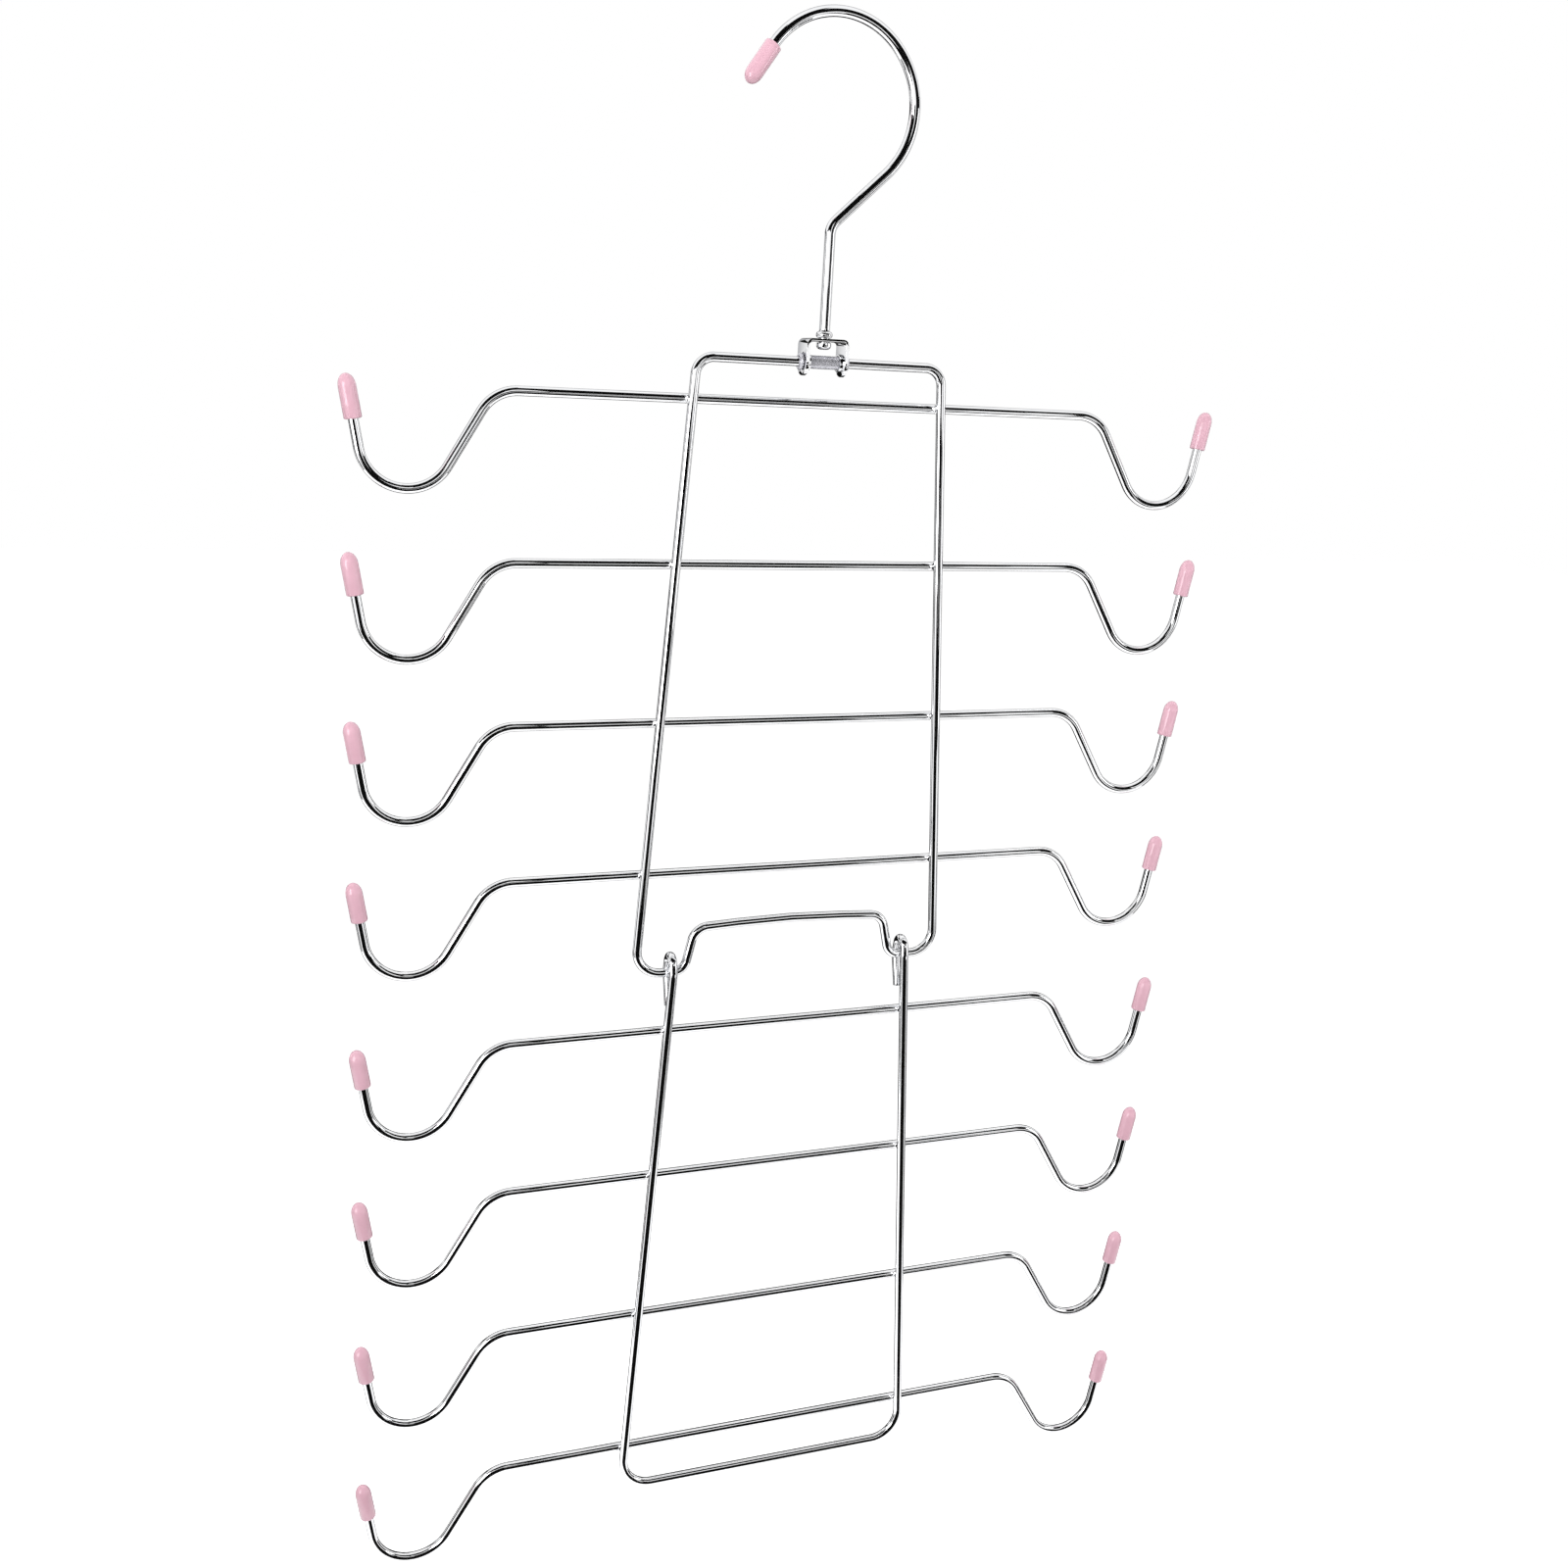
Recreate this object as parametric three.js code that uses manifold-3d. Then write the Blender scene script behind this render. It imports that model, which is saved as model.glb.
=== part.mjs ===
// Folding wire hanger for lingerie: a hanging hook, a swivel yoke and two hinged wire sections.
// Millimetres. +X runs along the crossbars, +Y to the back of the hanger and +Z up.
// The origin is the rod seat, the inside top of the hanging hook's loop.
import * as THREE from 'three';
import { mergeVertices } from 'three/addons/utils/BufferGeometryUtils.js';
import Module from 'manifold-3d';

const wasm = await Module();
wasm.setup();

const DEGREE = Math.PI / 180;

// Wire diameters
const HOOK_WIRE = 2.9;
const FRAME_WIRE = 2.6;
const CROSSBAR_WIRE = 2.6;

// Hanging hook, on its centre line
const LOOP_RADIUS = 22;
const LOOP_END = 146 * DEGREE;
const NECK_SLOPE = 43.4 * DEGREE;
const NECK_BEND = 5;
const STEM_LENGTH = 28.7;
const COLLAR_DIAMETER = 4.5;
const COLLAR_HEIGHT = 1.7;
const COLLAR_EDGE = 0.4;
const RIVET_DIAMETER = 4;
const RIVET_FACE_DIAMETER = 2;
const RIVET_HEIGHT = 1.8;
const RIVET_EDGE = 0.9;

// Swivel yoke: a bent strap whose ears hang on the pivot sleeve
const YOKE_WIDTH = 12;
const YOKE_DEPTH = 7.2;
const YOKE_RISE = 6.2;
const YOKE_SHEET = 0.9;
const YOKE_BEND = 1.7;
const EAR_COLLAR_WALL = 0.45;
const EAR_COLLAR_LENGTH = 0.9;

// Pivot sleeve on the upper frame's top bar
const SLEEVE_DIAMETER = 3.5;
const SLEEVE_RIM_DIAMETER = 4.6;
const SLEEVE_RIM_WIDTH = 0.9;
const SLEEVE_RIM_EDGE = 0.3;

// Tiers of crossbars, from the top bar down
const TIERS = 4;
const TOP_DROP = 11;
const UPPER_PITCH = 44;
const DIP_DROP = 29.2;
const HANG_DROP = 17.8;
const LOWER_PITCH = 46;
const FOOT_DROP = 12.7;

// Widest place of both frames, between wire centre lines
const FOOT_WIDTH = 93.8;

// Upper frame, between wire centre lines
const UPPER_TOP_WIDTH = 70.7;
const UPPER_TOP_BEND = 5;
const DIP_OUTER_BEND = 7;
const DIP_INNER_BEND = 4;
const BUMP_HEIGHT = 13;
const BUMP_BASE_WIDTH = 64.6;
const BUMP_TOP_WIDTH = 58.6;
const BUMP_BEND = 5;
const BUMP_CROWN = 1.6;
const BUMP_CROWN_BEND = 300;
const WIRE_END_GAP = 0.4;

// Lower frame, between wire centre lines
const EYE_SPACING = 72.6;
const LOWER_FOOT_BEND = 9;
const EYE_TAPER = 12 * DEGREE;
const EYE_TOP_BEND = 2.4;
const EYE_SIDE_BEND = 5;
const EYE_TAIL_LENGTH = 10.5;
const EYE_TAIL_SHOULDER = 1.5;
const EYE_TAIL_GAP = 0.6;

// Crossbars and their strap hooks
const HOOK_SPACING = 220;
const HOOK_DEPTH = 25.3;
const HOOK_RADIUS = 12;
const SHOULDER_RADIUS = 11;
const HOOK_SLOPE = 59 * DEGREE;
const TIP_LEAN = 9.7 * DEGREE;
const TIP_RISE = 2.5;

// Soft caps
const CAP_DIAMETER = 4.5;
const CAP_LENGTH = 11.1;
const HOOK_CAP_DIAMETER = 4.6;
const HOOK_CAP_LENGTH = 11.7;
const CAP_NOSE = 3.2;
const CAP_END = 1.9;
const CAP_EDGE = 0.25;

// Clearances
const WELD_GAP = 0.05;
const EYE_PLAY = 0.35;
const SWIVEL_PLAY = 0.15;
const PIVOT_PLAY = 0.12;
const SLEEVE_FIT = 0.08;
const CAP_FIT = 0.08;

// Facets
const ARC_STEP = 12 * DEGREE;
const HOOK_SIDES = 12;
const FRAME_SIDES = 12;
const CROSSBAR_SIDES = 8;
const CAP_SIDES = 12;
const CAP_TIP_STEPS = 4;
const TURNED_SIDES = 16;
const BEND_STEPS = 4;
const MERGE_DISTANCE = 1e-5;

// Corner radius of a regular polygon whose flats lie on a circle of this radius
function cornerRadius(radius, sides) {
  return radius / Math.cos(Math.PI / sides);
}

// A bent wire's centre line: straight runs between given points, with sections carried along without twist
class WireLine extends THREE.Curve {
  constructor(points, firstNormal) {
    super();
    this.points = points;
    this.firstNormal = firstNormal;
  }

  get runs() {
    return this.points.length - 1;
  }

  getSpacedPoints() {
    return this.points;
  }

  computeFrenetFrames() {
    const tangents = this.points.map((_, i) => {
      const before = this.points[Math.max(i - 1, 0)];
      const after = this.points[Math.min(i + 1, this.runs)];
      return after.clone().sub(before).normalize();
    });
    const normals = [this.firstNormal.clone()];
    for (let i = 1; i < tangents.length; i += 1) {
      const turn = new THREE.Quaternion().setFromUnitVectors(tangents[i - 1], tangents[i]);
      normals.push(normals[i - 1].clone().applyQuaternion(turn));
    }
    const binormals = tangents.map((tangent, i) => tangent.clone().cross(normals[i]));
    return { tangents, normals, binormals };
  }
}

// Round wire along a list of points, with flats to the front and back of the hanger
function bentWire(points, diameter, sides) {
  const corner = cornerRadius(diameter / 2, sides);
  const section = new THREE.Shape(Array.from({ length: sides }, (_, i) => {
    const angle = (2 * i + 1) * Math.PI / sides;
    return new THREE.Vector2(corner * Math.cos(angle), corner * Math.sin(angle));
  }));
  const start = points[1].clone().sub(points[0]).normalize();
  const firstNormal = new THREE.Vector3(0, 1, 0).cross(start).normalize();
  const line = new WireLine(points, firstNormal);
  return new THREE.ExtrudeGeometry(section, { extrudePath: line, steps: line.runs });
}

// Point of the hanger's own plane
function at(x, z, y = 0) {
  return new THREE.Vector3(x, y, z);
}

// Arc in the hanger's plane, from one angle to another, measured from +X towards +Z
function arc(centre, radius, from, to) {
  const steps = Math.max(1, Math.round(Math.abs(to - from) / ARC_STEP));
  const points = [];
  for (let i = 0; i <= steps; i += 1) {
    const angle = from + (to - from) * i / steps;
    points.push(centre.clone().add(at(radius * Math.cos(angle), radius * Math.sin(angle))));
  }
  return points;
}

// Points of a bend of the given radius at the corner between two straight runs
function bend(before, corner, after, radius) {
  const toBefore = before.clone().sub(corner).normalize();
  const toAfter = after.clone().sub(corner).normalize();
  const turn = Math.PI - toBefore.angleTo(toAfter);
  const bisector = toBefore.clone().add(toAfter).normalize();
  const centre = corner.clone().addScaledVector(bisector, radius / Math.cos(turn / 2));
  const first = corner.clone().addScaledVector(toBefore, radius * Math.tan(turn / 2)).sub(centre);
  const axis = toAfter.clone().cross(toBefore).normalize();
  const steps = Math.max(1, Math.round(turn / ARC_STEP));
  const points = [];
  for (let i = 0; i <= steps; i += 1) {
    points.push(first.clone().applyAxisAngle(axis, turn * i / steps).add(centre));
  }
  return points;
}

// Runs through corners, each with its own bend radius; the first and last points have none
function bentRuns(corners) {
  const last = corners.length - 1;
  return corners.flatMap((corner, i) => {
    if (i === 0 || i === last) return [corner.point];
    return bend(corners[i - 1].point, corner.point, corners[i + 1].point, corner.radius);
  });
}

// A half run and its mirror image, joined into one run from left to right; the half starts at the middle
function mirrored(half) {
  const left = half.map((point) => at(-point.x, point.z, point.y)).reverse();
  const shared = half[0].x === 0 ? 1 : 0;
  return [...left, ...half.slice(shared)];
}

function toSolid(geometry) {
  const bare = geometry.clone();
  bare.deleteAttribute('normal');
  bare.deleteAttribute('uv');
  const merged = mergeVertices(bare, MERGE_DISTANCE);
  return new wasm.Manifold(new wasm.Mesh({
    numProp: 3,
    vertProperties: new Float32Array(merged.attributes.position.array),
    triVerts: new Uint32Array(merged.index.array),
  }));
}

function toGeometry(solid) {
  const mesh = solid.getMesh();
  const geometry = new THREE.BufferGeometry();
  geometry.setAttribute('position', new THREE.BufferAttribute(mesh.vertProperties, 3));
  geometry.setIndex(new THREE.BufferAttribute(mesh.triVerts, 1));
  geometry.computeVertexNormals();
  return geometry;
}

// Solid of revolution about +Z from pairs of radius and height
function turned(profile, sides) {
  const points = profile.map(([radius, height]) => new THREE.Vector2(cornerRadius(radius, sides), height));
  return new THREE.LatheGeometry(points, sides).rotateX(Math.PI / 2);
}

// Round bar along +X between two places
function barAlongX(radius, from, to) {
  const bar = new THREE.CylinderGeometry(
    cornerRadius(radius, TURNED_SIDES), cornerRadius(radius, TURNED_SIDES), to - from, TURNED_SIDES);
  return bar.rotateZ(Math.PI / 2).translate((from + to) / 2, 0, 0);
}

function chrome() {
  return new THREE.MeshStandardMaterial({ color: 0xd9dbe0, roughness: 0.12, metalness: 1 });
}

function greySteel() {
  return new THREE.MeshStandardMaterial({ color: 0xb9b9c1, roughness: 0.45, metalness: 0.9 });
}

function pinkVinyl() {
  return new THREE.MeshStandardMaterial({ color: 0xecb6cb, roughness: 0.35, metalness: 0 });
}

function piece(name, geometry, material) {
  const mesh = new THREE.Mesh(geometry, material);
  mesh.name = name;
  return mesh;
}

// Heights: each section is built about its own hinge axis
const loopCentre = at(0, HOOK_WIRE / 2 - LOOP_RADIUS);
const neckCorner = at(0, loopCentre.z - LOOP_RADIUS / Math.cos(NECK_SLOPE));
const plateTop = neckCorner.z - STEM_LENGTH;
const pivotHeight = plateTop - YOKE_RISE;
const dipHeight = -TOP_DROP - (TIERS - 1) * UPPER_PITCH - DIP_DROP;

// The lower frame's side wires pass in front of the upper frame; crossbars lie behind their frame
const eyeRadius = FRAME_WIRE + EYE_PLAY;
const crossbarBehind = (FRAME_WIRE + CROSSBAR_WIRE) / 2 + WELD_GAP;

// Soft cap standing on its open rim, with a blind bore for the wire and a bullet end
function cap(diameter, length, wire, wireSides) {
  const outer = diameter / 2;
  const bore = cornerRadius(wire / 2, wireSides) + CAP_FIT;
  const profile = [
    [0, length - CAP_END],
    [bore, length - CAP_END],
    [bore, 0],
    [outer - CAP_EDGE, 0],
    [outer, CAP_EDGE],
  ];
  for (let i = 0; i < CAP_TIP_STEPS; i += 1) {
    const angle = i / CAP_TIP_STEPS * Math.PI / 2;
    profile.push([outer * Math.cos(angle), length - CAP_NOSE + CAP_NOSE * Math.sin(angle)]);
  }
  profile.push([0, length]);
  return turned(profile, CAP_SIDES);
}

// Where a wire ends inside its cap, back from the cap's tip
const wireEndInset = CAP_END + CAP_FIT;

function hangingHook() {
  const apex = Math.PI / 2;
  const loop = [
    ...arc(loopCentre, LOOP_RADIUS, NECK_SLOPE - Math.PI / 2, apex),
    ...arc(loopCentre, LOOP_RADIUS, apex, LOOP_END).slice(1),
  ];
  const outward = at(-Math.sin(LOOP_END), Math.cos(LOOP_END));
  const capRim = loop[loop.length - 1];
  const wireEnd = capRim.clone().addScaledVector(outward, HOOK_CAP_LENGTH - wireEndInset);
  const headTop = plateTop - YOKE_SHEET - SWIVEL_PLAY;
  const stemFoot = at(0, headTop - RIVET_HEIGHT / 2);
  const wire = bentWire(
    [stemFoot, ...bend(stemFoot, neckCorner, loop[0], NECK_BEND), ...loop, wireEnd], HOOK_WIRE, HOOK_SIDES);
  const collarFoot = plateTop + SWIVEL_PLAY;
  const collarTop = collarFoot + COLLAR_HEIGHT;
  const collarRadius = COLLAR_DIAMETER / 2;
  const collar = turned([
    [0, collarFoot],
    [collarRadius - COLLAR_EDGE, collarFoot],
    [collarRadius, collarFoot + COLLAR_EDGE],
    [collarRadius, collarTop - COLLAR_EDGE],
    [collarRadius - COLLAR_EDGE, collarTop],
    [0, collarTop],
  ], TURNED_SIDES);
  const headFoot = headTop - RIVET_HEIGHT;
  const head = turned([
    [0, headFoot],
    [RIVET_FACE_DIAMETER / 2, headFoot],
    [RIVET_DIAMETER / 2, headFoot + RIVET_EDGE],
    [RIVET_DIAMETER / 2, headTop],
    [0, headTop],
  ], TURNED_SIDES);
  const solid = toSolid(wire).add(toSolid(collar)).add(toSolid(head));
  const hook = piece('hanging_hook', toGeometry(solid), chrome());
  const capGeometry = cap(HOOK_CAP_DIAMETER, HOOK_CAP_LENGTH, HOOK_WIRE, HOOK_SIDES);
  const hookCap = piece('hook_cap', capGeometry, pinkVinyl());
  hookCap.position.copy(capRim);
  hookCap.rotation.y = Math.atan2(outward.x, outward.z);
  return [hook, hookCap];
}

const sleeveRadius = SLEEVE_DIAMETER / 2;
const earBore = cornerRadius(sleeveRadius, TURNED_SIDES) + PIVOT_PLAY;

// Bent strap about the pivot axis: plate on top, two ears with half-round ends, holes for stem and sleeve
function swivelYoke() {
  const half = YOKE_WIDTH / 2;
  const inner = half - YOKE_SHEET;
  const bow = YOKE_RISE - YOKE_BEND;
  const earEnd = -YOKE_DEPTH / 2;
  const strap = new THREE.Shape();
  strap.moveTo(-half, earEnd);
  strap.lineTo(-inner, earEnd);
  strap.lineTo(-inner, bow);
  strap.absarc(-half + YOKE_BEND, bow, YOKE_BEND - YOKE_SHEET, Math.PI, Math.PI / 2, true);
  strap.absarc(half - YOKE_BEND, bow, YOKE_BEND - YOKE_SHEET, Math.PI / 2, 0, true);
  strap.lineTo(inner, earEnd);
  strap.lineTo(half, earEnd);
  strap.absarc(half - YOKE_BEND, bow, YOKE_BEND, 0, Math.PI / 2, false);
  strap.absarc(-half + YOKE_BEND, bow, YOKE_BEND, Math.PI / 2, Math.PI, false);
  const bent = new THREE.ExtrudeGeometry(
    strap, { depth: YOKE_DEPTH, bevelEnabled: false, curveSegments: BEND_STEPS });
  bent.rotateX(Math.PI / 2).translate(0, YOKE_DEPTH / 2, 0);

  const earOutline = new THREE.Shape();
  earOutline.moveTo(YOKE_DEPTH / 2, YOKE_RISE + YOKE_SHEET);
  earOutline.lineTo(-YOKE_DEPTH / 2, YOKE_RISE + YOKE_SHEET);
  earOutline.absarc(0, 0, YOKE_DEPTH / 2, Math.PI, 2 * Math.PI, false);
  const earCutter = new THREE.ExtrudeGeometry(
    earOutline, { depth: 2 * YOKE_WIDTH, bevelEnabled: false, curveSegments: TURNED_SIDES / 2 });
  earCutter.rotateX(Math.PI / 2).rotateZ(Math.PI / 2).translate(-YOKE_WIDTH, 0, 0);

  const collarInner = inner - EAR_COLLAR_LENGTH;
  const collarOuter = inner + YOKE_SHEET / 2;
  const collarRadius = earBore + EAR_COLLAR_WALL;
  const stemBore = cornerRadius(HOOK_WIRE / 2, HOOK_SIDES) + SWIVEL_PLAY;
  const stemHole = turned(
    [[0, 0], [stemBore, 0], [stemBore, 2 * YOKE_RISE], [0, 2 * YOKE_RISE]], TURNED_SIDES);
  const solid = toSolid(bent).intersect(toSolid(earCutter))
    .add(toSolid(barAlongX(collarRadius, collarInner, collarOuter)))
    .add(toSolid(barAlongX(collarRadius, -collarOuter, -collarInner)))
    .subtract(toSolid(barAlongX(earBore, -YOKE_WIDTH, YOKE_WIDTH)))
    .subtract(toSolid(stemHole));
  const yoke = piece('swivel_yoke', toGeometry(solid), chrome());
  yoke.position.z = pivotHeight;
  return yoke;
}

// Tube that closes the frame's wire ends, with a rolled rim outside each ear
function pivotSleeve() {
  const bore = cornerRadius(FRAME_WIRE / 2, FRAME_SIDES) + SLEEVE_FIT;
  const rim = SLEEVE_RIM_DIAMETER / 2;
  const rimInner = YOKE_WIDTH / 2 + PIVOT_PLAY;
  const end = rimInner + SLEEVE_RIM_WIDTH;
  const halfProfile = [
    [sleeveRadius, rimInner],
    [rim - SLEEVE_RIM_EDGE, rimInner],
    [rim, rimInner + SLEEVE_RIM_EDGE],
    [rim, end - SLEEVE_RIM_EDGE],
    [rim - SLEEVE_RIM_EDGE, end],
    [bore, end],
  ];
  const lowerHalf = halfProfile.map(([radius, height]) => [radius, -height]).reverse();
  const profile = [...lowerHalf, ...halfProfile, lowerHalf[0]];
  return piece('pivot_sleeve', turned(profile, TURNED_SIDES).rotateY(Math.PI / 2), greySteel());
}

// Closed wire loop below the top bar; the bottom run rises in the middle and dips at both sides
function upperFrame() {
  const foot = dipHeight;
  const half = bentRuns([
    { point: at(0, foot + BUMP_HEIGHT + BUMP_CROWN) },
    { point: at(BUMP_TOP_WIDTH / 2, foot + BUMP_HEIGHT), radius: BUMP_BEND },
    { point: at(BUMP_BASE_WIDTH / 2, foot), radius: DIP_INNER_BEND },
    { point: at(FOOT_WIDTH / 2, foot), radius: DIP_OUTER_BEND },
    { point: at(UPPER_TOP_WIDTH / 2, 0), radius: UPPER_TOP_BEND },
    { point: at(WIRE_END_GAP / 2, 0) },
  ]);
  const crown = bend(at(-half[1].x, half[1].z), half[0], half[1], BUMP_CROWN_BEND);
  const rightOfCrown = crown.filter((point) => point.x > 0);
  const wire = mirrored([...rightOfCrown, ...half.slice(1)]);
  return piece('upper_frame', bentWire(wire, FRAME_WIRE, FRAME_SIDES), chrome());
}

// Wire bow open at the top, about the hinge axis; each end bends over it into a tapering eye with a tail
function lowerFrame() {
  const foot = -HANG_DROP - (TIERS - 1) * LOWER_PITCH - FOOT_DROP;
  const side = EYE_SPACING / 2;
  const front = -eyeRadius;
  const archCentre = (eyeRadius * Math.cos(EYE_TAPER) - EYE_TOP_BEND) / Math.sin(EYE_TAPER);
  const archSteps = Math.round((Math.PI - 2 * EYE_TAPER) / ARC_STEP);
  const arch = [];
  for (let i = 0; i <= archSteps; i += 1) {
    const angle = Math.PI - EYE_TAPER - i / archSteps * (Math.PI - 2 * EYE_TAPER);
    arch.push(at(side, archCentre + EYE_TOP_BEND * Math.sin(angle), EYE_TOP_BEND * Math.cos(angle)));
  }
  const bow = bentRuns([
    { point: at(0, foot, front) },
    { point: at(FOOT_WIDTH / 2, foot, front), radius: LOWER_FOOT_BEND },
    { point: at(side, 0, front), radius: EYE_SIDE_BEND },
    { point: arch[0] },
  ]);
  const tail = bentRuns([
    { point: arch[archSteps] },
    { point: at(side, 0, eyeRadius), radius: EYE_SIDE_BEND },
    { point: at(side, -EYE_TAIL_SHOULDER, eyeRadius), radius: EYE_SIDE_BEND },
    { point: at(side, -EYE_TAIL_LENGTH, front + FRAME_WIRE + EYE_TAIL_GAP) },
  ]);
  const wire = mirrored([...bow, ...arch.slice(1, archSteps), ...tail]);
  return piece('lower_frame', bentWire(wire, FRAME_WIRE, FRAME_SIDES), chrome());
}

// Strap hook at the right end of a crossbar whose straight run lies on height zero
const hookTurn = HOOK_RADIUS + SHOULDER_RADIUS;
const hookRun = (HOOK_DEPTH - hookTurn * (1 - Math.cos(HOOK_SLOPE))) / Math.sin(HOOK_SLOPE);
const shoulderStart = HOOK_SPACING / 2 - hookTurn * Math.sin(HOOK_SLOPE) - hookRun * Math.cos(HOOK_SLOPE);
const hookBow = arc(
  at(HOOK_SPACING / 2, HOOK_RADIUS - HOOK_DEPTH), HOOK_RADIUS, -Math.PI / 2 - HOOK_SLOPE, -TIP_LEAN);
const hookLeg = at(Math.sin(TIP_LEAN), Math.cos(TIP_LEAN));
const bowEnd = hookBow[hookBow.length - 1];
const legLength = (TIP_RISE - bowEnd.z) / hookLeg.z;
const capRimPlace = bowEnd.clone().addScaledVector(hookLeg, legLength - CAP_LENGTH);

function crossbarGeometry() {
  const shoulder = arc(
    at(shoulderStart, -SHOULDER_RADIUS), SHOULDER_RADIUS, Math.PI / 2, Math.PI / 2 - HOOK_SLOPE);
  const wireEnd = bowEnd.clone().addScaledVector(hookLeg, legLength - wireEndInset);
  return bentWire(mirrored([...shoulder, ...hookBow, wireEnd]), CROSSBAR_WIRE, CROSSBAR_SIDES);
}

// One crossbar with its two caps, numbered from the top
function tier(number) {
  const bar = piece(`crossbar_${number}`, crossbarGeometry(), chrome());
  const caps = ['left', 'right'].map((hand) => {
    const sign = hand === 'left' ? -1 : 1;
    const geometry = cap(CAP_DIAMETER, CAP_LENGTH, CROSSBAR_WIRE, CROSSBAR_SIDES);
    const strapCap = piece(`strap_cap_${number}_${hand}`, geometry, pinkVinyl());
    strapCap.position.set(sign * capRimPlace.x, 0, capRimPlace.z);
    strapCap.rotation.y = sign * TIP_LEAN;
    return strapCap;
  });
  return new THREE.Group().add(bar, ...caps);
}

// Four tiers hung at an even pitch below a section's axis, behind the frame in the given plane
function tiers(firstNumber, firstDrop, pitch, framePlane) {
  return Array.from({ length: TIERS }, (_, i) => {
    const group = tier(firstNumber + i);
    group.position.set(0, framePlane + crossbarBehind, -firstDrop - i * pitch);
    return group;
  });
}

const lowerSection = new THREE.Group();
lowerSection.position.z = dipHeight;
lowerSection.add(lowerFrame(), ...tiers(TIERS + 1, HANG_DROP, LOWER_PITCH, -eyeRadius));

const upperSection = new THREE.Group();
upperSection.position.z = pivotHeight;
upperSection.add(pivotSleeve(), upperFrame(), ...tiers(1, TOP_DROP, UPPER_PITCH, 0), lowerSection);

const hanger = new THREE.Group();
hanger.add(...hangingHook(), swivelYoke(), upperSection);

export default hanger;
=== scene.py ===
import math

import bmesh
import bpy
from mathutils import Matrix, Quaternion, Vector, noise


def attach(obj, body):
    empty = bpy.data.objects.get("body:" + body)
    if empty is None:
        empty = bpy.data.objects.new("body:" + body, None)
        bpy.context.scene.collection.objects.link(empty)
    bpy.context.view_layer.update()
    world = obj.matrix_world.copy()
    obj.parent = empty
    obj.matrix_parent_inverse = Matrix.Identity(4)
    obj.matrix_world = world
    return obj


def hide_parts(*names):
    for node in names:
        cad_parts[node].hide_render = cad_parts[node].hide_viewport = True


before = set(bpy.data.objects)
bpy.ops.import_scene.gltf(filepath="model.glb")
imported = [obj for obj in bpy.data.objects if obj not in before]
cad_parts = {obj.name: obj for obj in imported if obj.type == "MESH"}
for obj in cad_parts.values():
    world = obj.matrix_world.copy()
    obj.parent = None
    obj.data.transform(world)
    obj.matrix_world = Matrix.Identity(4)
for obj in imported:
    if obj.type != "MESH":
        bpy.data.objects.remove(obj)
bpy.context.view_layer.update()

MM = 0.001
QUARTER = math.pi / 2

# Sizes in millimetres, as in the solids
HOOK_WIRE = 2.9
FRAME_WIRE = 2.6
CROSSBAR_WIRE = 2.6

LOOP_RADIUS = 22
LOOP_END = math.radians(146)
NECK_SLOPE = math.radians(43.4)
NECK_BEND = 5
STEM_LENGTH = 28.7
COLLAR_RADIUS = 2.25
COLLAR_HEIGHT = 1.7
RIVET_RADIUS = 2.0
RIVET_HEIGHT = 1.8

YOKE_WIDTH = 12
YOKE_DEPTH = 7.2
YOKE_RISE = 6.2
YOKE_SHEET = 0.9
YOKE_BEND = 1.7
EAR_BORE = 1.9
STEM_BORE = 1.65
EAR_COLLAR_WALL = 0.45
EAR_COLLAR_LENGTH = 0.9

SLEEVE_RADIUS = 1.75
SLEEVE_BORE = 1.4
SLEEVE_RIM_RADIUS = 2.3
SLEEVE_RIM_WIDTH = 0.9

TIERS = 4
TOP_DROP = 11
UPPER_PITCH = 44
DIP_DROP = 29.2
HANG_DROP = 17.8
LOWER_PITCH = 46
FOOT_DROP = 12.7
FOOT_WIDTH = 93.8

UPPER_TOP_WIDTH = 70.7
UPPER_TOP_BEND = 5
DIP_OUTER_BEND = 7
DIP_INNER_BEND = 4
BUMP_HEIGHT = 13
BUMP_BASE_WIDTH = 64.6
BUMP_TOP_WIDTH = 58.6
BUMP_BEND = 5
BUMP_CROWN = 1.6
BUMP_CROWN_BEND = 300
WIRE_END_GAP = 0.4

EYE_SPACING = 72.6
LOWER_FOOT_BEND = 9
EYE_TAPER = math.radians(12)
EYE_TOP_BEND = 2.4
EYE_SIDE_BEND = 5
EYE_TAIL_LENGTH = 10.5
EYE_TAIL_SHOULDER = 1.5
EYE_TAIL_GAP = 0.6

HOOK_SPACING = 220
HOOK_DEPTH = 25.3
HOOK_RADIUS = 12
SHOULDER_RADIUS = 11
HOOK_SLOPE = math.radians(59)
TIP_LEAN = math.radians(9.7)
TIP_RISE = 2.5

CAP_RADIUS = 2.25
CAP_LENGTH = 11.1
HOOK_CAP_RADIUS = 2.3
HOOK_CAP_LENGTH = 11.7
CAP_NOSE = 3.2
CAP_END = 1.9
CAP_LIP = 0.35

WELD_GAP = 0.05
EYE_PLAY = 0.35
SWIVEL_PLAY = 0.15
PIVOT_PLAY = 0.12
CAP_FIT = 0.03

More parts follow.
